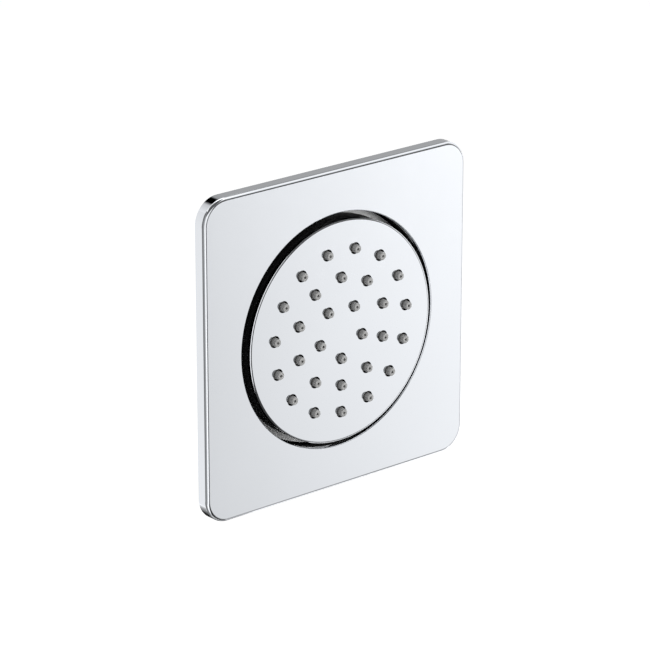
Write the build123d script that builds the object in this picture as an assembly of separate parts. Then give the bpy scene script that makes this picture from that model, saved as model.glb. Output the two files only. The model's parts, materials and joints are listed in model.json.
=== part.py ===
from build123d import *
import os
from math import cos, radians, sin, sqrt

# Shower body jet: a square chrome plate around a round spray head that swivels on a ball.
# Millimetres, +Z up. The wall's surface is y = 0, the spray leaves along -Y, and the
# water comes in along the Y axis from behind the wall.

# Spray disc
disc_r = 41.5
disc_proud = 1.65  # face of the disc in front of the face of the plate
disc_sheet = 1.8
disc_edge_round = 0.5
skirt_wall = 2.0
skirt_past = 0.5  # the skirt ends this far behind the lid's back

# Nozzles: three rings of soft nubs, (count, first angle) from the middle out
nozzle_rings = ((5, 36.0), (10, 0.0), (15, 12.0))
nozzle_border = 10.9  # outer ring to the disc's rim
nozzle_hole_r = 2.2
nub_r = 1.5
nub_proud = 1.8
orifice_r = 0.45
mat_sheet = 1.5
mat_play = 0.3

# Water chamber behind the nozzle mat
chamber_depth = 2.5
lid_sheet = 2.5
lid_play = 0.25
lid_rim = 3.2
lid_flange_sheet = 1.5  # the flange closes the gap around the disc from behind
lid_flange_gap = 0.1
lid_flange_play = 0.3  # left to the throat when the head swings
port_r = 5.0
lid_rib_count = 5
lid_rib_first = 36.0
lid_rib_wall = 1.6
lid_rib_height = 1.8
spreader_r = 9.0
spreader_sheet = 0.8
spreader_gap = 0.9
peg_count = 4
peg_side = 1.6
peg_ring_r = 7.6
peg_depth = 0.6

# Screws that hold the chamber together
screw_count = 5
screw_first = 18.0
screw_r = 0.95
screw_play = 0.2
screw_head_r = 2.0
screw_head = 1.3
screw_end_gap = 0.6
pillar_r = 2.0
pillar_play = 0.15
pillar_socket = 0.8  # the pillars' tips sit this deep in the lid

# Ball joint
ball_r = 9.0
ball_setback = 9.85  # ball's centre behind the lid's inner face
neck_r = 4.6
waterway_r = 3.0
seat_play = 0.05
seat_wall = 1.6
front_seat_angles = (48.0, 66.0)  # from the spray direction
rear_seat_angles = (84.0, 118.0)
seal_angle = 37.0
seal_side = 1.6
seal_play = 0.05
socket_slope = 50.0  # the socket's cones touch the seats' outer sphere at this angle
hub_wall = 3.0
nut_thread_play = 0.05
nut_wall = 2.8
nut_lift = 0.6
nut_reach = 6.5
nut_notch_count = 6
nut_notch_width = 4.0
nut_notch_depth = 1.8
swing = radians(11.4)  # both tilts of the head at their limits together
swing_room = 1.2

# Plate, its collar and its ring seal
opening_gap = 2.45
opening_round = 0.4
plate_border = 16.05
plate_corner = 9.5
plate_edge_round = 1.2
plate_sheet = 1.9
plate_wall = 2.2
plate_play = 0.6
collar_wall = 3.05
collar_depth = 6.5
collar_play = 0.25
ring_groove = 1.5
ring_groove_play = 0.1
ring_front = 2.2
ring_width = 1.8

# Housing in the wall and its gasket
gasket_sheet = 1.0
gasket_play = 0.35
flange_sheet = 1.8
flange_room = 0.3
mouth_wall = 2.4
throat_step = 0.55  # the bores behind the plate are this much wider than its opening
shoulder_play = 0.5
floor_r = 21.0
floor_wall = 3.0
housing_rib_count = 8
housing_rib_wall = 2.0
housing_rib_foot = 10.0
fixing_hole_r = 2.1
fixing_sink_r = 3.3
fixing_sink = 1.2
fixing_inset = 11.2

# Inlet stem behind the ball
neck_flare = 2.0
lock_thread_r = 12.0
lock_play = 0.2
stem_hex_wall = 3.0
stem_hex_length = 3.0
stem_seal_wall = 2.5
stem_seal_sheet = 1.5
lock_washer_wall = 7.2
lock_washer_sheet = 1.5
lock_nut_wall = 4.0
lock_nut_length = 6.0
lock_spare = 1.5
inlet_r = 10.48  # half-inch pipe thread
inlet_length = 14.0

# Cartridge bore in the inlet
cartridge_r = 7.0
cartridge_play = 0.05
cartridge_depth = 19.0
regulator_length = 6.0
regulator_web = 2.0
regulator_wall = 1.2
regulator_post_r = 1.8
regulator_hole_r = 0.5
regulator_hole_count = 4
filter_length = 3.0
filter_wall = 1.1
filter_web = 0.6
clip_wall = 1.0
clip_depth = 0.6
clip_inset = 3.0

# Planes across the Y axis, from the nozzles' tips back to the inlet
plate_depth = plate_sheet + flange_room + flange_sheet + gasket_sheet
plate_face = -plate_depth
pocket_floor = plate_face + plate_sheet
flange_back = -gasket_sheet
flange_front = flange_back - flange_sheet
disc_face = plate_face - disc_proud
nub_tip = disc_face - nub_proud
mat_front = disc_face + disc_sheet
mat_back = mat_front + mat_sheet
lid_front = mat_back + chamber_depth
lid_back = lid_front + lid_sheet
skirt_end = lid_back + skirt_past
lid_flange_front = skirt_end + lid_flange_gap
lid_flange_back = lid_flange_front + lid_flange_sheet
ball_y = lid_front + ball_setback

# Radii around the Y axis
opening_r = disc_r + opening_gap
plate_half = opening_r + plate_border
skirt_r = disc_r - skirt_wall
lid_r = skirt_r - lid_play
chamber_r = lid_r - lid_rim
nozzle_pitch = (disc_r - nozzle_border) / len(nozzle_rings)
screw_ring_r = nozzle_pitch * (len(nozzle_rings) - 0.5)
seat_in_r = ball_r + seat_play
seat_out_r = seat_in_r + seat_wall
socket_r = seat_out_r + seat_play
hub_r = socket_r + hub_wall
nut_bore_r = hub_r + nut_thread_play
nut_r = nut_bore_r + nut_wall
nut_front = lid_back + nut_lift
nut_back = ball_y + nut_reach
collar_r = opening_r + collar_wall
mouth_r = collar_r + collar_play
mouth_out_r = mouth_r + mouth_wall
groove_r = collar_r - ring_groove
throat_r = opening_r + throat_step
lid_flange_r = sqrt((throat_r - lid_flange_play) ** 2 - (ball_y - lid_flange_front) ** 2)

# Seal between the lid and the ball
seal_reach = ball_r + seal_play
seal_in_r = seal_reach * sin(radians(seal_angle))
seal_back = ball_y - seal_reach * cos(radians(seal_angle))
seal_front = seal_back - seal_side
seal_out_r = seal_in_r + seal_side

# Stem stations: the hexagon stays clear of the nut when the head swings
stem_hex_front = ball_y + nut_reach * cos(swing) + nut_r * sin(swing) + swing_room
stem_hex_back = stem_hex_front + stem_hex_length
floor_in = stem_hex_back + stem_seal_sheet
floor_out = floor_in + floor_wall
lock_nut_front = floor_out + lock_washer_sheet
lock_nut_back = lock_nut_front + lock_nut_length
lock_end = lock_nut_back + lock_spare
inlet_end = lock_end + inlet_length
cartridge_front = inlet_end - cartridge_depth
cartridge_fit_r = cartridge_r - cartridge_play

# Bowl of the housing: clear of the lid's flange when the head swings
lid_flange_swung = ball_y - (ball_y - lid_flange_back) * cos(swing) + lid_flange_r * sin(swing)
shoulder = collar_depth + shoulder_play
bowl_start = lid_flange_swung + swing_room
flange_half = plate_half - plate_wall - plate_play
flange_corner = plate_corner - plate_wall
fixing_place = flange_half - fixing_inset


def turned(*outline):
    """Solid turned about the Y axis from a closed outline of (radius, y) points."""
    return revolve(make_face(Polyline(*outline, close=True)), Axis.Y)


def drum(r, front, back):
    return turned((0, front), (r, front), (r, back), (0, back))


def tube(r_out, r_in, front, back):
    return turned((r_in, front), (r_out, front), (r_out, back), (r_in, back))


def from_ball(reach, degrees):
    """(radius, y) point at a distance from the ball's centre, by angle from the spray."""
    return reach * sin(radians(degrees)), ball_y - reach * cos(radians(degrees))


def socket_depth(r):
    """Distance along Y from the ball's centre to the socket's cone at a radius."""
    slope = radians(socket_slope)
    return (socket_r - r * sin(slope)) / cos(slope)


def prism(outline, front, back):
    """Flat outline, drawn as seen from the front, extruded along Y."""
    return extrude(Plane.XZ.offset(-back) * outline, back - front)


def rounded_slab(half, corner, front, back):
    return prism(RectangleRounded(2 * half, 2 * half, corner), front, back)


def hexagon(flat_r, front, back):
    return prism(RegularPolygon(flat_r, 6, major_radius=False), front, back)


def clock(r, degrees):
    """Place at a radius and an angle clockwise from the top, seen from the front."""
    return Pos(r * sin(radians(degrees)), 0, r * cos(radians(degrees)))


def around(count, first=0.0):
    return [first + 360 / count * i for i in range(count)]


def spokes(blade, count, first=0.0):
    """Copies of a blade in the XY plane, turned about the Y axis."""
    return [Rot(Y=angle) * blade for angle in around(count, first)]


def nozzle_places():
    places = []
    for ring, (count, first) in enumerate(nozzle_rings, start=1):
        places += [clock(ring * nozzle_pitch, angle) for angle in around(count, first)]
    return places


def screw_places():
    return [clock(screw_ring_r, angle) for angle in around(screw_count, screw_first)]


def fixing_places():
    return [Pos(x * fixing_place, 0, z * fixing_place) for x in (-1, 1) for z in (-1, 1)]


def make_face_plate():
    shell = rounded_slab(plate_half, plate_corner, plate_face, 0)
    shell = fillet(shell.faces().sort_by(Axis.Y)[0].edges(), plate_edge_round)
    shell -= rounded_slab(plate_half - plate_wall, plate_corner - plate_wall, pocket_floor, 0)
    shell -= drum(opening_r, plate_face, pocket_floor)
    rims = shell.edges().filter_by(GeomType.CIRCLE).sort_by(SortBy.RADIUS)[-2:]
    return fillet(rims.sort_by(Axis.Y)[0], opening_round)


def make_plate_collar():
    groove_front = ring_front - ring_groove_play
    groove_back = ring_front + ring_width + ring_groove_play
    collar = tube(collar_r, throat_r, pocket_floor, collar_depth)
    return collar - tube(mouth_r, groove_r, groove_front, groove_back)


def make_plate_ring():
    return tube(mouth_r, groove_r, ring_front, ring_front + ring_width)


def make_wall_gasket():
    sheet = rounded_slab(flange_half, flange_corner, flange_back, 0)
    sheet -= drum(mouth_out_r + gasket_play, flange_back, 0)
    hole = drum(fixing_hole_r + gasket_play, flange_back, 0)
    return sheet - [place * hole for place in fixing_places()]


def make_housing():
    bowl = turned(
        (0, flange_front),
        (mouth_out_r, flange_front),
        (mouth_out_r, shoulder + mouth_wall),
        (throat_r + mouth_wall, shoulder + mouth_wall),
        (throat_r + mouth_wall, bowl_start),
        (floor_r + mouth_wall, floor_out),
        (0, floor_out),
    )
    rib = make_face(
        Polyline(
            (floor_r, floor_out - floor_wall),
            (throat_r, bowl_start),
            (throat_r + mouth_wall, bowl_start),
            (floor_r + mouth_wall + housing_rib_foot, floor_out),
            (floor_r + mouth_wall, floor_out),
            close=True,
        )
    )
    bowl += spokes(extrude(rib, housing_rib_wall / 2, both=True), housing_rib_count)
    bowl += rounded_slab(flange_half, flange_corner, flange_front, flange_back)
    bowl -= turned(
        (0, flange_front),
        (mouth_r, flange_front),
        (mouth_r, shoulder),
        (throat_r, shoulder),
        (throat_r, bowl_start),
        (floor_r, floor_in),
        (lock_thread_r + lock_play, floor_in),
        (lock_thread_r + lock_play, floor_out),
        (0, floor_out),
    )
    hole = turned(
        (0, flange_front),
        (fixing_sink_r, flange_front),
        (fixing_hole_r, flange_front + fixing_sink),
        (fixing_hole_r, flange_back),
        (0, flange_back),
    )
    return bowl - [place * hole for place in fixing_places()]


def make_ball_stem():
    stem = turned(
        (0, ball_y),
        (neck_r, ball_y),
        (neck_r, stem_hex_front - neck_flare),
        (neck_r + neck_flare, stem_hex_front),
        (neck_r + neck_flare, stem_hex_back),
        (lock_thread_r, stem_hex_back),
        (lock_thread_r, lock_end),
        (inlet_r, lock_end),
        (inlet_r, inlet_end),
        (0, inlet_end),
    )
    stem += Pos(0, ball_y, 0) * Sphere(ball_r)
    stem += hexagon(lock_thread_r + stem_hex_wall, stem_hex_front, stem_hex_back)
    stem -= drum(waterway_r, ball_y - ball_r, cartridge_front)
    stem -= drum(cartridge_r, cartridge_front, inlet_end)
    clip_y = inlet_end - clip_inset
    return stem - tube(cartridge_r + clip_depth, cartridge_r, clip_y, clip_y + clip_wall)


def make_stem_seal():
    return tube(lock_thread_r + stem_seal_wall, lock_thread_r, stem_hex_back, floor_in)


def make_lock_washer():
    washer_r = lock_thread_r + lock_washer_wall
    return tube(washer_r, lock_thread_r + lock_play, floor_out, lock_nut_front)


def make_lock_nut():
    nut = hexagon(lock_thread_r + lock_nut_wall, lock_nut_front, lock_nut_back)
    return nut - drum(lock_thread_r, lock_nut_front, lock_nut_back)


def make_flow_regulator():
    back = cartridge_front + regulator_length
    web_back = cartridge_front + regulator_web
    ring_in_r = cartridge_fit_r - regulator_wall
    body = drum(cartridge_fit_r, cartridge_front, back) - drum(ring_in_r, web_back, back)
    body += drum(regulator_post_r, cartridge_front, back)
    hole = drum(regulator_hole_r, cartridge_front, web_back)
    hole_ring_r = (regulator_post_r + waterway_r) / 2
    return body - [clock(hole_ring_r, angle) * hole for angle in around(regulator_hole_count)]


def make_inlet_filter():
    back = inlet_end - clip_inset
    front = back - filter_length
    rim_in_r = cartridge_fit_r - filter_wall
    rim = tube(cartridge_fit_r, rim_in_r, front, back)
    return rim + drum(rim_in_r, front, front + filter_web)


def make_filter_clip():
    clip_y = inlet_end - clip_inset
    clip = tube(cartridge_r + clip_depth, cartridge_r - clip_wall, clip_y, clip_y + clip_wall)
    gap = Box(2 * clip_wall, 2 * clip_wall, 2 * cartridge_r)
    return clip - Pos(0, clip_y, -cartridge_r) * gap


def make_seat(angles):
    """Ring between ball and socket, with a bore that touches the ball at mid-width."""
    start, end = angles
    bore = seat_in_r / cos(radians((end - start) / 2))
    return turned(
        from_ball(bore, start),
        from_ball(seat_out_r, start),
        from_ball(seat_out_r, end),
        from_ball(bore, end),
    )


def make_rear_seat():
    return make_seat(rear_seat_angles)


def make_front_seat():
    return make_seat(front_seat_angles)


def make_ball_seal():
    return tube(seal_out_r, seal_in_r, seal_front, seal_back)


def make_socket_nut():
    slope = radians(socket_slope)
    nut = turned(
        (nut_bore_r, nut_front),
        (nut_r, nut_front),
        (nut_r, nut_back),
        ((socket_r - nut_reach * cos(slope)) / sin(slope), nut_back),
        (socket_r, ball_y + socket_depth(socket_r)),
        (socket_r, ball_y),
        (nut_bore_r, ball_y),
    )
    notch = Box(2 * nut_notch_depth, 2 * nut_notch_depth, nut_notch_width)
    return nut - spokes(Pos(nut_r, nut_back, 0) * notch, nut_notch_count)


def make_chamber_lid():
    lid = drum(lid_r, mat_back, lid_flange_back)
    lid += drum(lid_flange_r, lid_flange_front, lid_flange_back)
    lid -= [drum(chamber_r, mat_back, lid_front), drum(chamber_r, lid_back, lid_flange_back)]
    lid += drum(hub_r, lid_front, ball_y)
    rib_start = nut_r + nut_lift
    rib_end = lid_r - lid_rim / 2
    rib = Box(rib_end - rib_start, lid_rib_height, lid_rib_wall)
    rib = Pos((rib_end + rib_start) / 2, lid_back + lid_rib_height / 2, 0) * rib
    lid += spokes(rib, lid_rib_count, lid_rib_first)
    lid -= turned(
        (0, lid_front),
        (port_r, lid_front),
        (port_r, seal_front),
        (seal_out_r, seal_front),
        (seal_out_r, ball_y - socket_depth(seal_out_r)),
        (socket_r, ball_y - socket_depth(socket_r)),
        (socket_r, ball_y),
        (0, ball_y),
    )
    socket = drum(pillar_r + pillar_play, lid_front, lid_front + pillar_socket)
    socket += drum(screw_r + screw_play, lid_front, lid_back)
    lid -= [place * socket for place in screw_places()]
    return lid - spreader_pegs()


def spreader_pegs():
    length = spreader_gap + peg_depth
    peg = Pos(0, lid_front - spreader_gap + length / 2, 0) * Box(peg_side, length, peg_side)
    return [clock(peg_ring_r, angle) * peg for angle in around(peg_count)]


def make_spreader():
    back = lid_front - spreader_gap
    return drum(spreader_r, back - spreader_sheet, back) + spreader_pegs()


def make_chamber_screws():
    head = drum(screw_head_r, lid_back, lid_back + screw_head)
    screw = head + drum(screw_r, mat_front + screw_end_gap, lid_back)
    return Compound(children=[place * screw for place in screw_places()])


def make_spray_disc():
    disc = drum(disc_r, disc_face, skirt_end)
    disc = fillet(disc.faces().sort_by(Axis.Y)[0].edges(), disc_edge_round)
    disc -= drum(skirt_r, mat_front, skirt_end)
    pillar = drum(pillar_r, mat_front, lid_front + pillar_socket)
    disc += [place * pillar for place in screw_places()]
    pilot = drum(screw_r, mat_front, lid_front + pillar_socket)
    disc -= [place * pilot for place in screw_places()]
    hole = drum(nozzle_hole_r, disc_face, mat_front)
    return disc - [place * hole for place in nozzle_places()]


def make_nozzle_mat():
    sheet = drum(skirt_r - mat_play, mat_front, mat_back)
    nub = drum(nub_r, nub_tip, mat_front)
    sheet += [place * nub for place in nozzle_places()]
    orifice = drum(orifice_r, nub_tip, mat_back)
    hole = drum(pillar_r + pillar_play, mat_front, mat_back)
    sheet -= [place * orifice for place in nozzle_places()]
    return sheet - [place * hole for place in screw_places()]


pieces = {
    "face_plate": make_face_plate,
    "plate_collar": make_plate_collar,
    "plate_ring": make_plate_ring,
    "wall_gasket": make_wall_gasket,
    "housing": make_housing,
    "ball_stem": make_ball_stem,
    "stem_seal": make_stem_seal,
    "lock_washer": make_lock_washer,
    "lock_nut": make_lock_nut,
    "flow_regulator": make_flow_regulator,
    "inlet_filter": make_inlet_filter,
    "filter_clip": make_filter_clip,
    "rear_seat": make_rear_seat,
    "front_seat": make_front_seat,
    "ball_seal": make_ball_seal,
    "socket_nut": make_socket_nut,
    "chamber_lid": make_chamber_lid,
    "spreader": make_spreader,
    "chamber_screws": make_chamber_screws,
    "spray_disc": make_spray_disc,
    "nozzle_mat": make_nozzle_mat,
}

os.makedirs("parts", exist_ok=True)
for name, make in pieces.items():
    export_step(make(), f"parts/{name}.step")
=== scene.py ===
import json
import math

import bpy
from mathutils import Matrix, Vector
from mathutils.geometry import tessellate_polygon


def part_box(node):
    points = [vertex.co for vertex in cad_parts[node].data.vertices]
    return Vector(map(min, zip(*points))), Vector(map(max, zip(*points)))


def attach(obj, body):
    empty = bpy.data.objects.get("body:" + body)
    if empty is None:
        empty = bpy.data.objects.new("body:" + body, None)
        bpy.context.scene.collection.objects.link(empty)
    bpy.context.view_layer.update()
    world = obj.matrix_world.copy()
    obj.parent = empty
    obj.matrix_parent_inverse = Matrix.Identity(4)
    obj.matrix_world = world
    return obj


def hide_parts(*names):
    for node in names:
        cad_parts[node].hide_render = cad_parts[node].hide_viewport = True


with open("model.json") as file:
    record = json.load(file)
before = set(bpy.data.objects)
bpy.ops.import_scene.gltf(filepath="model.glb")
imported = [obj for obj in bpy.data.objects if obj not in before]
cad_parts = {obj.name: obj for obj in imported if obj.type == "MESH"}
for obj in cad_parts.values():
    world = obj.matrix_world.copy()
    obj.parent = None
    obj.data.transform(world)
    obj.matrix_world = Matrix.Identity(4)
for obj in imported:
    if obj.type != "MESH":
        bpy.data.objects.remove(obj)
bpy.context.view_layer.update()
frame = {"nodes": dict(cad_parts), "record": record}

MM = 0.001

# Camera: the photograph's view, solved from the square plate
camera_azimuth = -39.91
camera_elevation = 19.99
camera_distance = 1242.3 * MM
camera_target = Vector((-2.0 * MM, 0, 1.07 * MM))
camera_lens = 192.88
sensor_width = 36.0

# Spray disc, in millimetres as in the part's source
disc_r = 41.5
disc_steps = 240
skirt_r = 39.5
crown_r = 1.5  # the face rounds off this gently, and then the rim's edge ends it
crown_end = 28  # slope in degrees at that edge
crown_steps = 20
pillar_r = 2.0
pillar_length = 4.8
plating_reach = 40  # nearer to the axis than this, walls are bare and take the darker black of painted shade
plating_front = -0.2  # what has a normal with a larger Y than this is a wall

# Nozzles and their mat
nozzle_rings = ((5, 36), (10, 0), (15, 12))  # count and first angle, from the middle out
nozzle_pitch = 10.2
nozzle_hole_r = 2.2
hole_steps = 32
nub_r = 1.5
nub_round = 0.4
nub_round_steps = 6
nub_steps = 24
orifice_r = 0.45
orifice_flare = 0.1
mat_r = 39.2
mat_sheet = 1.5
mat_steps = 120
pillar_hole_r = 2.15

# Ball, inlet stem and lock nut
ball_r = 9.0
ball_steps = 36
waterway_r = 3.0
neck_r = 4.6
neck_flare = 2.0
stem_hex_r = 15.0
stem_hex_length = 3.0
hex_bevel = 0.7  # the bevelled faces' circles are this much smaller than the flats'
hex_slope = 30
lock_r = 12.0
lock_pitch = 1.5
lock_depth = 0.92
lock_nut_r = 16.0
lock_spare = 1.5
inlet_r = 10.48
pipe_pitch = 1.814  # half-inch pipe thread
pipe_depth = 1.162
thread_cut = 1.3  # threads are waves this much too tall, cut flat at crest and root
cartridge_r = 7.0
clip_groove_r = 7.6
turn_steps = 96

# Filter screen
filter_rim = (5.85, 6.95)
filter_edge = 0.2
wire_r = 0.15
wire_pitch = 0.8
wire_sides = 8
weave_steps = 2  # stations along a wire for each pitch

# Chamber screws
screw_count = 5
screw_first = 18
screw_r = 0.95
screw_pitch = 0.9
screw_depth = 0.25
screw_point = 0.8
screw_taper = 3  # the thread's root is this many times as wide as the tip
screw_head_r = 2.0
screw_head = 1.3
screw_dome_turns = (0.4, 0.8, 1.2, math.pi / 2)
screw_cross = ((1.1, 0.3), (0.7, 0.2))  # half length and half width at its top and bottom
screw_cross_depth = 0.8

# Looks that more than one material has
noise_span = (0.3, 0.7)  # where nearly all of a noise lies
# Painted shade: a darker copy of the black moulding, for the collar and the disc's bare moulding,
# which lie in the shade of the gap and the holes
shaded_black = ((0.008, 0.008, 0.009), (0.014, 0.014, 0.015))
chrome_ripple = 0.0002 * MM

# Stage, in metres
floor_z = -450 * MM
floor_half = 5.0
floor_colour = (0.86, 0.86, 0.86, 1)
floor_lift = 0.68  # glow that brings the floor up to the background's white
world_fill = 0.35  # the background's light on the object, next to 1 where it is seen

# Softboxes: azimuth, elevation, distance, side and radiance
lamps = {
    "overhead_softbox": (20, 75, 1.7, 1.6, 0.8),
    "key_softbox": (35, -2, 1.6, 0.8, 6.5),
}

# Studio cards: azimuth, elevation and distance, and then rings from the middle out. Each ring is
# (left, right, low, high, tones) as seen from the object: how far it reaches from the card's middle,
# and the tones of its lower left, lower right, upper right and upper left corners.
cards = {
    # Mirrored by the flat faces, with the dark surround that their rims mirror
    "face_card": (
        39.9, -20, 0.4,
        (0.0675, 0.0675, 0.100, 0.136, (0.72, 0.96, 1.149, 0.838)),
        (0.0685, 0.0685, 0.101, 0.137, (0.02, 0.28, 0.15, 0.02)),
        (0.3100, 0.1600, 0.275, 0.430, (0.13, 0.38, 0.20, 0.15)),
        (0.3500, 0.2000, 0.320, 0.560, 4 * (1.00,)),
    ),
    # Mirrored by the rounds along the plate's edges and by the disc's rim
    "left_card": (-95, 0, 0.55, (0.43, 0.62, 0.44, 0.55, (0.05, 0.50, 0.50, 0.05))),
    "heel_card": (-100, -52, 0.40, (0.19, 0.19, 0.14, 0.16, (0.05, 0.38, 0.38, 0.05))),
    "brow_card": (-25, 52, 0.55, (0.40, 0.36, 0.26, 0.40, 4 * (0.10,))),
    "notch_card": (
        6, 9, 0.38,
        (0.012, 0.050, 0.060, 0.020, (0.14, 0.10, 0.10, 0.14)),
        (0.042, 0.050, 0.060, 0.060, (1.00, 0.10, 0.10, 1.00)),
    ),
    "under_card": (10, -52, 0.45, (0.17, 0.14, 0.22, 0.15, 4 * (0.05,))),
    "nadir_card": (0, -89, 0.40, (0.20, 0.20, 0.30, 0.10, (0.01, 0.01, 0.50, 0.50))),
    # Mirrored by the plate's left and upper sides, by their corners and in the opening
    "wall_card": (-135.3, -18.6, 0.588, (0.10, 0.10, 0.24, 0.75, (0.92, 0.92, 0.80, 0.80))),
    "back_card": (140, 25.6, 0.573, (0.15, 0.15, 0.36, 0.17, (0.50, 0.50, 0.33, 0.33))),
    "roof_card": (118, 47, 0.58, (0.10, 0.12, 0.14, 0.12, 4 * (0.30,))),
    "corner_card": (
        178, 48, 0.59,
        (0.110, 0.075, 0.10, 0.12, 4 * (0.00,)),
        (0.200, 0.160, 0.15, 0.16, (0.40, 0.62, 0.62, 0.40)),
        (0.260, 0.420, 0.20, 0.20, (0.40, 0.90, 0.90, 0.40)),
    ),
    "low_card": (
        160, -36, 0.45,
        (0.170, 0.210, 0.10, 0.19, 4 * (0.01,)),
        (0.220, 0.360, 0.20, 0.22, (0.30, 0.92, 0.92, 0.30)),
    ),
}


def direction(azimuth, elevation):
    """Unit vector seen from the object: azimuth 0 is the front (-Y) and 90 is +X."""
    a, e = math.radians(azimuth), math.radians(elevation)
    return Vector((math.sin(a) * math.cos(e), -math.cos(a) * math.cos(e), math.sin(e)))


def span(name):
    """Where a CAD node starts and ends along Y, in millimetres."""
    low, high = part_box(name)
    return low[1] / MM, high[1] / MM


def mat_planes():
    """Front and back of the mat's sheet along Y."""
    _, back = span("nozzle_mat")
    return back - mat_sheet, back


def link(name, data):
    made = bpy.data.objects.new(name, data)
    bpy.context.scene.collection.objects.link(made)
    return made


def node(tree, kind, inputs=(), **settings):
    """New shader node; an input is a constant or another node's output."""
    made = tree.nodes.new(kind)
    for key, value in settings.items():
        setattr(made, key, value)
    for key, value in dict(inputs).items():
        if isinstance(value, bpy.types.NodeSocket):
            tree.links.new(value, made.inputs[key])
        else:
            made.inputs[key].default_value = value
    return made


def math_node(tree, operation, a, b):
    return node(tree, "ShaderNodeMath", {0: a, 1: b}, operation=operation).outputs[0]


def y_of(tree, vector):
    return node(tree, "ShaderNodeSeparateXYZ", {0: vector}).outputs["Y"]


def new_material(name, **constants):
    """Material with a Principled shader; returns (material, tree, shader)."""
    made = bpy.data.materials.new(name)
    made.use_nodes = True
    tree = made.node_tree
    shader = tree.nodes["Principled BSDF"]
    for key, value in constants.items():
        shader.inputs[key.replace("_", " ")].default_value = value
    return made, tree, shader


def bare_material(name):
    """Material with no shader yet; returns (material, tree, surface input)."""
    made, tree, shader = new_material(name)
    tree.nodes.remove(shader)
    return made, tree, tree.nodes["Material Output"].inputs["Surface"]


def place(tree, stretch=(1, 1, 1)):
    """Point on the piece in its own frame, in metres, stretched along the axes."""
    where = node(tree, "ShaderNodeTexCoord").outputs["Object"]
    return node(tree, "ShaderNodeMapping", {"Vector": where, "Scale": stretch}).outputs[0]


def noise(tree, grain, detail=3.0, stretch=(1, 1, 1)):
    """Noise whose features are about one grain across, in metres."""
    inputs = {"Vector": place(tree, stretch), "Scale": 1 / grain, "Detail": detail}
    return node(tree, "ShaderNodeTexNoise", inputs).outputs["Fac"]


def cells(tree, grain):
    """Rounded cells about one grain across, in metres."""
    inputs = {"Vector": place(tree), "Scale": 1 / grain}
    return node(tree, "ShaderNodeTexVoronoi", inputs).outputs["Distance"]


def between(tree, factor, low, high):
    """Value from low to high as a noise rises."""
    start, end = noise_span
    inputs = {"Value": factor, "From Min": start, "From Max": end, "To Min": low, "To Max": high}
    return node(tree, "ShaderNodeMapRange", inputs).outputs[0]


def opaque(colour):
    """A colour with its alpha, or another node's output as it is."""
    return colour if isinstance(colour, bpy.types.NodeSocket) else (*colour, 1)


def tint(tree, factor, dark, pale):
    """Mix of two colours; the numbers are those of a mixer's colour sockets."""
    inputs = {0: factor, 6: opaque(dark), 7: opaque(pale)}
    return node(tree, "ShaderNodeMix", inputs, data_type="RGBA").outputs[2]


def relief(tree, shader, height, depth):
    """Bump of a real depth in metres."""
    bump = node(tree, "ShaderNodeBump", {"Height": height, "Distance": depth})
    tree.links.new(bump.outputs["Normal"], shader.inputs["Normal"])


def finish(tree, shader, colour, roughness):
    tree.links.new(colour, shader.inputs["Base Color"])
    tree.links.new(roughness, shader.inputs["Roughness"])


def plating(tree, shader):
    """Ripple of bright plating on the shader; returns its colour and roughness, both faintly hazy."""
    relief(tree, shader, noise(tree, 1.5 * MM, 1.0), chrome_ripple)
    colour = tint(tree, noise(tree, 30 * MM), (0.86, 0.885, 0.92), (0.88, 0.905, 0.945))
    return colour, between(tree, noise(tree, 6 * MM), 0.025, 0.05)


def make_chrome():
    made, tree, shader = new_material("chrome_plating", Metallic=1.0)
    finish(tree, shader, *plating(tree, shader))
    return made


def make_part_plated():
    """Chrome on the disc's face and rim; the moulding behind and in the holes is left bare, in the
    darker black that paints the shade of the gap and the holes.
    """
    made, tree, shader = new_material("part_plated_moulding", Specular_IOR_Level=0.15)
    plating_end, _ = mat_planes()
    behind = math_node(tree, "GREATER_THAN", y_of(tree, place(tree)), plating_end * MM)
    facing = y_of(tree, node(tree, "ShaderNodeTexCoord").outputs["Normal"])
    wall = math_node(tree, "GREATER_THAN", facing, plating_front)
    off_axis = {0: place(tree, (1, 0, 1))}
    reach = node(tree, "ShaderNodeVectorMath", off_axis, operation="LENGTH").outputs["Value"]
    inside = math_node(tree, "LESS_THAN", reach, plating_reach * MM)
    bare_in_shade = math_node(tree, "MAXIMUM", behind, math_node(tree, "MULTIPLY", inside, wall))
    colour, roughness = plating(tree, shader)
    # Painted shade: the bare moulding takes the darker black of the gap and holes
    moulding = tint(tree, noise(tree, 3 * MM), *shaded_black)
    matt = math_node(tree, "MULTIPLY", bare_in_shade, 0.5)
    finish(tree, shader, tint(tree, bare_in_shade, colour, moulding),
           math_node(tree, "MAXIMUM", roughness, matt))
    tree.links.new(math_node(tree, "SUBTRACT", 1.0, bare_in_shade), shader.inputs["Metallic"])
    return made


def make_silicone():
    made, tree, shader = new_material("grey_silicone")
    colour = tint(tree, noise(tree, 1.2 * MM), (0.37, 0.37, 0.365), (0.41, 0.41, 0.405))
    finish(tree, shader, colour, between(tree, noise(tree, 0.4 * MM), 0.42, 0.6))
    relief(tree, shader, noise(tree, 0.25 * MM), 0.001 * MM)
    return made


def make_plastic(name, dark, pale, grain, depth, smooth, rough, gloss=0.5):
    """Moulded plastic with the fine grain of its mould."""
    made, tree, shader = new_material(name, Specular_IOR_Level=gloss)
    colour = tint(tree, noise(tree, 12 * MM), dark, pale)
    finish(tree, shader, colour, between(tree, noise(tree, 2 * MM), smooth, rough))
    relief(tree, shader, noise(tree, grain), depth)
    return made


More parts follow.
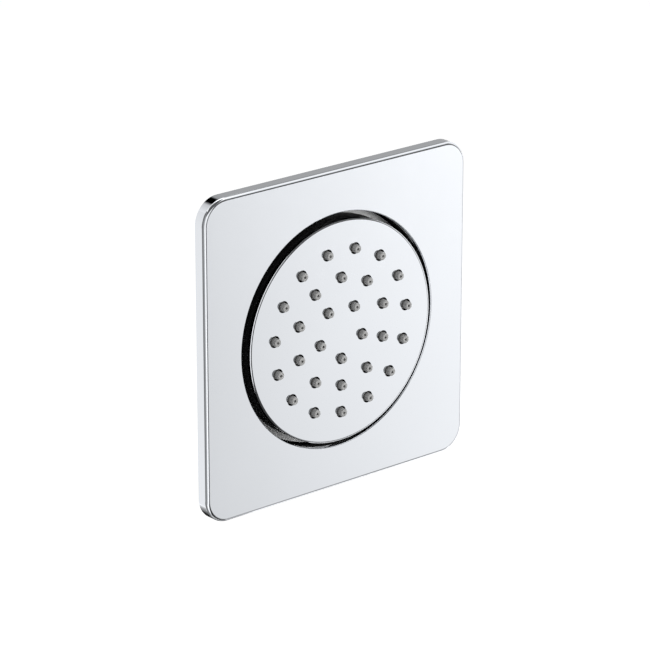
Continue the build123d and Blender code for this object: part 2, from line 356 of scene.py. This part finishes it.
def make_brass():
    made, tree, shader = new_material("turned_brass", Metallic=1.0)
    lathe_lines = noise(tree, 0.35 * MM, 2.0, (0.02, 1, 0.02))
    stain = noise(tree, 7 * MM, 5.0)
    colour = tint(tree, stain, (0.66, 0.45, 0.19), (0.80, 0.60, 0.31))
    finish(tree, shader, colour, between(tree, lathe_lines, 0.2, 0.38))
    relief(tree, shader, lathe_lines, 0.006 * MM)
    return made


def make_steel():
    made, tree, shader = new_material("rolled_steel", Metallic=1.0)
    streak = noise(tree, 0.3 * MM, 3.0, (0.05, 1, 1))
    colour = tint(tree, noise(tree, 5 * MM), (0.54, 0.54, 0.55), (0.66, 0.66, 0.66))
    finish(tree, shader, colour, between(tree, streak, 0.24, 0.42))
    relief(tree, shader, streak, 0.004 * MM)
    return made


def make_rubber():
    made, tree, shader = new_material("black_rubber")
    colour = tint(tree, noise(tree, 3 * MM), (0.018, 0.018, 0.018), (0.036, 0.036, 0.036))
    finish(tree, shader, colour, between(tree, noise(tree, 1 * MM), 0.5, 0.72))
    relief(tree, shader, noise(tree, 0.2 * MM), 0.02 * MM)
    return made


def make_foam():
    made, tree, shader = new_material("closed_cell_foam")
    pores = cells(tree, 0.7 * MM)
    colour = tint(tree, pores, (0.045, 0.045, 0.048), (0.11, 0.11, 0.115))
    finish(tree, shader, colour, between(tree, pores, 0.8, 0.95))
    relief(tree, shader, pores, 0.12 * MM)
    return made


finishes = {
    "chrome": make_chrome(),
    "silicone": make_silicone(),
    "black_plastic": make_plastic(
        "black_moulding", (0.026, 0.027, 0.028), (0.040, 0.041, 0.043),
        grain=0.3 * MM, depth=0.03 * MM, smooth=0.38, rough=0.52),
    "grey_plastic": make_plastic(
        "grey_moulding", (0.21, 0.22, 0.23), (0.27, 0.28, 0.29),
        grain=0.5 * MM, depth=0.01 * MM, smooth=0.35, rough=0.5),
    "white_plastic": make_plastic(
        "white_moulding", (0.74, 0.75, 0.75), (0.81, 0.82, 0.82),
        grain=0.8 * MM, depth=0.004 * MM, smooth=0.22, rough=0.36),
    "part_plated": make_part_plated(),
    # Painted shade: this darker black stands in for the shade in the gap
    "shaded_black": make_plastic(
        "shaded_black_moulding", *shaded_black,
        grain=0.3 * MM, depth=0.03 * MM, smooth=0.42, rough=0.6, gloss=0.15),
    "brass": make_brass(),
    "steel": make_steel(),
    "black_rubber": make_rubber(),
    "foam": make_foam(),
}


def dress(piece, look):
    piece.data.materials.clear()
    piece.data.materials.append(finishes[look])


slot_of = {part["node"]: part["material_slot"] for part in frame["record"]["subparts"]}
# The collar takes the darker black of painted shade instead of its slot's black moulding
look_of = {**slot_of, "spray_disc": "part_plated", "plate_collar": "shaded_black"}
body_of = {member: body for body, members in frame["record"]["behaviour"]["bodies"].items()
           for member in members}
for name, piece in frame["nodes"].items():
    dress(piece, look_of[name])


def even(r, y, steps=turn_steps):
    """Row of (radius, y) points that makes a circle."""
    return [(r, y)] * steps


def around(row, x=0.0, z=0.0):
    """Points of a row once around a line along Y, clockwise from the front's top."""
    turns = [math.tau * k / len(row) for k in range(len(row))]
    return [(x + r * math.sin(t), y, z + r * math.cos(t)) for t, (r, y) in zip(turns, row)]


class Shape:
    """Points in millimetres and faces, gathered for one piece."""

    def __init__(self):
        self.points = []
        self.faces = []
        self.flats = set()

    def ring(self, outline):
        """Adds a closed line of (x, y, z) points and returns their numbers."""
        first = len(self.points)
        self.points += outline
        return list(range(first, len(self.points)))

    def circles(self, profile, steps, x=0.0, z=0.0):
        """Adds a circle around a line along Y for each (radius, y) point of a profile."""
        return [self.ring(around(even(r, y, steps), x, z)) for r, y in profile]

    def bands(self, rings):
        """Faces between rings in turn, all of equal length."""
        for a, b in zip(rings, rings[1:]):
            self.faces += zip(a, a[1:] + a[:1], b[1:] + b[:1], b)

    def skin(self, rings, solid):
        """Bands with closed ends if solid, or else back to the first ring."""
        if solid:
            self.bands(rings)
            self.faces += [rings[0][::-1], rings[-1]]
        else:
            self.bands(rings + rings[:1])

    def turned(self, rows, x=0.0, z=0.0, solid=False):
        """Skin around a line along Y through rows of (radius, y) points."""
        self.skin([self.ring(around(row, x, z)) for row in rows], solid)

    def sheet(self, rim, holes, flip=False):
        """Flat face across Y inside a rim, with holes left open."""
        lines = [rim] + holes
        flat = [[Vector((self.points[k][0], self.points[k][2], 0)) for k in line] for line in lines]
        numbers = [k for line in lines for k in line]
        for corners in tessellate_polygon(flat):
            face = [numbers[k] for k in corners]
            a, b, c = (self.points[k] for k in face)
            turn = (b[0] - a[0]) * (c[2] - a[2]) - (b[2] - a[2]) * (c[0] - a[0])
            self.flats.add(len(self.faces))
            self.faces.append(face if (turn > 0) != flip else face[::-1])

    def stand_for(self, name, crease=30):
        """Makes the piece, which stands for the CAD node of that name."""
        mesh = bpy.data.meshes.new(f"{name}_detail")
        mesh.from_pydata([[v * MM for v in point] for point in self.points], [], self.faces)
        mesh.shade_smooth()
        mesh.set_sharp_from_angle(angle=math.radians(crease))
        for face in mesh.polygons:
            face.use_smooth = face.index not in self.flats
        piece = link(f"{name}_detail", mesh)
        dress(piece, look_of[name])
        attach(piece, body_of[name])
        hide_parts(name)


def clock(r, count, first):
    """(x, z) places around the Y axis, by degrees clockwise from the top."""
    turns = [math.radians(first + 360 / count * k) for k in range(count)]
    return [(r * math.sin(t), r * math.cos(t)) for t in turns]


def nozzle_places():
    return [spot for ring, (count, first) in enumerate(nozzle_rings, start=1)
            for spot in clock(ring * nozzle_pitch, count, first)]


def screw_places():
    """Places midway between the two outer rings of nozzles."""
    return clock((len(nozzle_rings) - 0.5) * nozzle_pitch, screw_count, screw_first)


def make_spray_disc():
    face, back = span("spray_disc")
    inner, _ = mat_planes()
    pillar_end = inner + pillar_length
    turns = [math.radians(crown_end * k / crown_steps) for k in range(crown_steps + 1)]
    crown_start = disc_r - crown_r * math.sin(turns[-1])
    rim = [(crown_start + crown_r * math.sin(t), face + crown_r * (1 - math.cos(t))) for t in turns]
    rim += [(disc_r, back), (skirt_r, back), (skirt_r, inner)]
    hole = [(nozzle_hole_r, face), (nozzle_hole_r, inner)]
    pillar = [(pillar_r, inner), (pillar_r, pillar_end), (screw_r, pillar_end), (screw_r, inner)]
    disc = Shape()
    rims = disc.circles(rim, disc_steps)
    holes = [disc.circles(hole, hole_steps, *spot) for spot in nozzle_places()]
    pillars = [disc.circles(pillar, hole_steps, *spot) for spot in screw_places()]
    disc.bands(rims)
    for rings in holes:
        disc.bands(rings[::-1])
    for rings in pillars:
        disc.bands(rings)
        disc.faces.append(rings[-1])
    disc.sheet(rims[0], [rings[0] for rings in holes])
    disc.sheet(rims[-1], [rings[-1] for rings in holes] + [rings[0] for rings in pillars], flip=True)
    disc.stand_for("spray_disc")


def rounded(r, y, round_r, steps):
    """(radius, y) points from the side of a post round to its end at y, towards -Y."""
    turns = [math.pi / 2 * k / steps for k in range(steps + 1)]
    return [(r - round_r * (1 - math.cos(t)), y + round_r * (1 - math.sin(t))) for t in turns]


def make_nozzle_mat():
    tip, _ = span("nozzle_mat")
    front, back = mat_planes()
    nub = [(nub_r, front), *rounded(nub_r, tip, nub_round, nub_round_steps)]
    nub += [(orifice_r + orifice_flare, tip), (orifice_r, tip + orifice_flare), (orifice_r, back)]
    hole = [(pillar_hole_r, front), (pillar_hole_r, back)]
    mat = Shape()
    rims = mat.circles([(mat_r, front), (mat_r, back)], mat_steps)
    nubs = [mat.circles(nub, nub_steps, *spot) for spot in nozzle_places()]
    holes = [mat.circles(hole, hole_steps, *spot) for spot in screw_places()]
    mat.bands(rims)
    for rings in nubs + holes:
        mat.bands(rings[::-1])
    mat.sheet(rims[0], [rings[0] for rings in nubs + holes])
    mat.sheet(rims[1], [rings[-1] for rings in nubs + holes], flip=True)
    mat.stand_for("nozzle_mat")


def hexagon(flat_r):
    """Radius of a hexagon with a flat at the top, at each step of the turn."""
    turns = [360 * k / turn_steps for k in range(turn_steps)]
    return [flat_r / math.cos(math.radians((turn + 30) % 60 - 30)) for turn in turns]


def bevelled(flat_r, y, inward):
    """Rows of a hexagon's end at y: the bevel's circle, and where the bevel meets the flats."""
    face_r = flat_r - hex_bevel
    slope = inward * math.tan(math.radians(hex_slope))
    return [even(face_r, y), [(r, y + (r - face_r) * slope) for r in hexagon(flat_r)]]


def thread(r, depth, pitch, start, end, steps=turn_steps, rows_a_turn=12):
    """Rows of a right-hand thread that begins and ends at its root."""
    count = round((end - start) / pitch * rows_a_turn)
    rows = []
    for row in range(count + 1):
        y = start + (end - start) * row / count
        waves = [math.cos(math.tau * (y / pitch - k / steps)) for k in range(steps)]
        heights = [depth * (0.5 + 0.5 * min(max(thread_cut * wave, -1), 1)) for wave in waves]
        rows.append([(r - depth + min(height, y - start, end - y), y) for height in heights])
    return rows


def make_ball_stem():
    # Every joint turns about the ball's centre
    ball_y = frame["record"]["behaviour"]["joints"][0]["pos_m"][1] / MM
    hex_back, _ = span("stem_seal")
    hex_front = hex_back - stem_hex_length
    nut_front, nut_back = span("lock_nut")
    lock_end = nut_back + lock_spare
    clip_front, clip_back = span("filter_clip")
    _, inlet_end = span("ball_stem")
    bore_end, _ = span("flow_regulator")
    port, waist = (math.asin(r / ball_r) for r in (waterway_r, neck_r))
    turns = [port + (math.pi - waist - port) * k / ball_steps for k in range(ball_steps + 1)]
    rows = [even(ball_r * math.sin(t), ball_y - ball_r * math.cos(t)) for t in turns]
    rows += [even(neck_r, hex_front - neck_flare), even(neck_r + neck_flare, hex_front)]
    rows += bevelled(stem_hex_r, hex_front, 1)
    rows += [[(r, hex_back) for r in hexagon(stem_hex_r)]]
    rows += [even(lock_r, hex_back), even(lock_r, nut_front)]
    rows += thread(lock_r, lock_depth, lock_pitch, nut_front, lock_end)
    rows += thread(inlet_r, pipe_depth, pipe_pitch, lock_end, inlet_end)
    rows += [even(cartridge_r, inlet_end), even(cartridge_r, clip_back)]
    rows += [even(clip_groove_r, clip_back), even(clip_groove_r, clip_front)]
    rows += [even(cartridge_r, clip_front), even(cartridge_r, bore_end), even(waterway_r, bore_end)]
    stem = Shape()
    stem.turned(rows)
    stem.stand_for("ball_stem", crease=50)


def make_lock_nut():
    front, back = span("lock_nut")
    flare = lock_depth / 2
    bore = [even(lock_r + flare, back), even(lock_r, back - flare)]
    bore += [even(lock_r, front + flare), even(lock_r + flare, front)]
    nut = Shape()
    nut.turned(bevelled(lock_nut_r, front, 1) + bevelled(lock_nut_r, back, -1)[::-1] + bore)
    nut.stand_for("lock_nut", crease=25)


def make_inlet_filter():
    """Rim with a woven wire screen across its front."""
    front, back = span("inlet_filter")
    r_in, r_out = filter_rim
    screen = Shape()
    screen.turned([
        even(r_in, front), even(r_out - filter_edge, front), even(r_out, front + filter_edge),
        even(r_out, back - filter_edge), even(r_out - filter_edge, back),
        even(r_in + filter_edge, back), even(r_in, back - filter_edge)])
    middle = front + 2 * wire_r
    turns = [math.tau * k / wire_sides for k in range(wire_sides)]
    section = [(wire_r * math.cos(t), wire_r * math.sin(t)) for t in turns]
    lines = int(r_in / wire_pitch)
    for line in range(-lines, lines + 1):
        side = line * wire_pitch
        reach = math.sqrt(r_in ** 2 - side ** 2) + wire_r
        steps = round(weave_steps * 2 * reach / wire_pitch)
        across, upright = [], []
        for station in range(steps + 1):
            s = reach * (2 * station / steps - 1)
            weave = wire_r * (-1) ** line * math.cos(math.pi * s / wire_pitch)
            across.append(screen.ring([(s, middle + weave + u, side + v) for u, v in section]))
            upright.append(screen.ring([(side + u, middle - weave + v, s) for u, v in section]))
        screen.skin(across, solid=True)
        screen.skin(upright, solid=True)
    screen.stand_for("inlet_filter", crease=40)


def cross(half_length, half_width, y, steps):
    """Row of a cross-shaped recess."""
    row = []
    for k in range(steps):
        turn = math.tau * k / steps
        small, large = sorted((abs(math.sin(turn)), abs(math.cos(turn))))
        arm = min(half_length / large, half_width / max(small, 1e-6))
        row.append((max(half_width / large, arm), y))
    return row


def make_chamber_screws():
    tip, top = span("chamber_screws")
    neck = top - screw_head
    root_r = screw_r - screw_depth
    dome = screw_head / 2
    steps = turn_steps // 2
    rows = [even(root_r / screw_taper, tip, steps)]
    rows += thread(screw_r, screw_depth, screw_pitch, tip + screw_point, neck, steps, rows_a_turn=8)
    rows += [even(screw_head_r, neck, steps), even(screw_head_r, top - dome, steps)]
    rows += [even(screw_head_r - dome * (1 - math.cos(t)), top - dome * (1 - math.sin(t)), steps)
             for t in screw_dome_turns]
    for (half_length, half_width), depth in zip(screw_cross, (0, screw_cross_depth)):
        rows.append(cross(half_length, half_width, top - depth, steps))
    screws = Shape()
    for x, z in screw_places():
        screws.turned(rows, x, z, solid=True)
    screws.stand_for("chamber_screws", crease=45)


def seen_rays(tree):
    """1 for rays that show the background: from the camera, a mirror or through glass."""
    path = node(tree, "ShaderNodeLightPath").outputs
    mirror = math_node(tree, "MAXIMUM", path["Is Glossy Ray"], path["Is Transmission Ray"])
    return math_node(tree, "MAXIMUM", path["Is Camera Ray"], mirror)


def make_world():
    world = bpy.data.worlds.new("white_tent")
    world.use_nodes = True
    tree = world.node_tree
    level = node(tree, "ShaderNodeMapRange", {"Value": seen_rays(tree), "To Min": world_fill})
    sky = tree.nodes["Background"]
    sky.inputs["Color"].default_value = (1, 1, 1, 1)
    tree.links.new(level.outputs[0], sky.inputs["Strength"])
    bpy.context.scene.world = world


def make_floor():
    mesh = bpy.data.meshes.new("floor")
    corners = [(-1, -1), (1, -1), (1, 1), (-1, 1)]
    points = [(x * floor_half, y * floor_half, floor_z) for x, y in corners]
    mesh.from_pydata(points, [], [(0, 1, 2, 3)])
    floor = link("floor", mesh)
    made, tree, surface = bare_material("pale_floor")
    paint = node(tree, "ShaderNodeBsdfDiffuse", {"Color": floor_colour})
    lift = math_node(tree, "MULTIPLY", seen_rays(tree), floor_lift)
    glow = node(tree, "ShaderNodeEmission", {"Strength": lift})
    both = node(tree, "ShaderNodeAddShader", {0: paint.outputs[0], 1: glow.outputs[0]})
    tree.links.new(both.outputs[0], surface)
    mesh.materials.append(made)


def make_card(name, azimuth, elevation, distance, *rings):
    """Card facing the object, which only mirrors see."""
    away = direction(azimuth, elevation)
    side = direction(azimuth + 90, 0)
    up = away.cross(side)
    points, tones, faces = [], [], [(0, 1, 2, 3)]
    for ring, (left, right, low, high, corner_tones) in enumerate(rings):
        corners = [(-left, -low), (right, -low), (right, high), (-left, high)]
        points += [away * distance + side * x + up * y for x, y in corners]
        tones += corner_tones
        if ring:
            first = 4 * ring
            faces += [(first + k, first + (k + 1) % 4, first - 4 + (k + 1) % 4, first - 4 + k)
                      for k in range(4)]
    mesh = bpy.data.meshes.new(name)
    mesh.from_pydata(points, [], faces)
    shade = mesh.attributes.new("tone", "FLOAT", "POINT")
    shade.data.foreach_set("value", tones)
    made, tree, surface = bare_material(name)
    tone = node(tree, "ShaderNodeAttribute", attribute_name="tone").outputs["Fac"]
    glow = node(tree, "ShaderNodeEmission", {"Strength": tone})
    tree.links.new(glow.outputs[0], surface)
    mesh.materials.append(made)
    card = link(name, mesh)
    card.visible_camera = False
    card.visible_diffuse = False
    card.visible_shadow = False


def make_lamp(name, azimuth, elevation, distance, side, radiance):
    """Square softbox of an even radiance, facing the object."""
    data = bpy.data.lights.new(name, "AREA")
    data.shape = "SQUARE"
    data.size = side
    data.energy = radiance * math.pi * side ** 2
    lamp = link(name, data)
    away = direction(azimuth, elevation)
    lamp.location = away * distance
    lamp.rotation_mode = "QUATERNION"
    lamp.rotation_quaternion = away.to_track_quat("Z", "Y")


def make_camera():
    data = bpy.data.cameras.new("camera")
    data.sensor_width = sensor_width
    data.lens = camera_lens
    camera = link("camera", data)
    back = direction(camera_azimuth, camera_elevation)
    camera.location = camera_target + back * camera_distance
    camera.rotation_mode = "QUATERNION"
    camera.rotation_quaternion = back.to_track_quat("Z", "Y")
    bpy.context.scene.camera = camera


make_spray_disc()
make_nozzle_mat()
make_ball_stem()
make_lock_nut()
make_inlet_filter()
make_chamber_screws()
make_world()
make_floor()
make_camera()
for name, lamp in lamps.items():
    make_lamp(name, *lamp)
for name, card in cards.items():
    make_card(name, *card)
bpy.context.scene.view_settings.view_transform = "Standard"
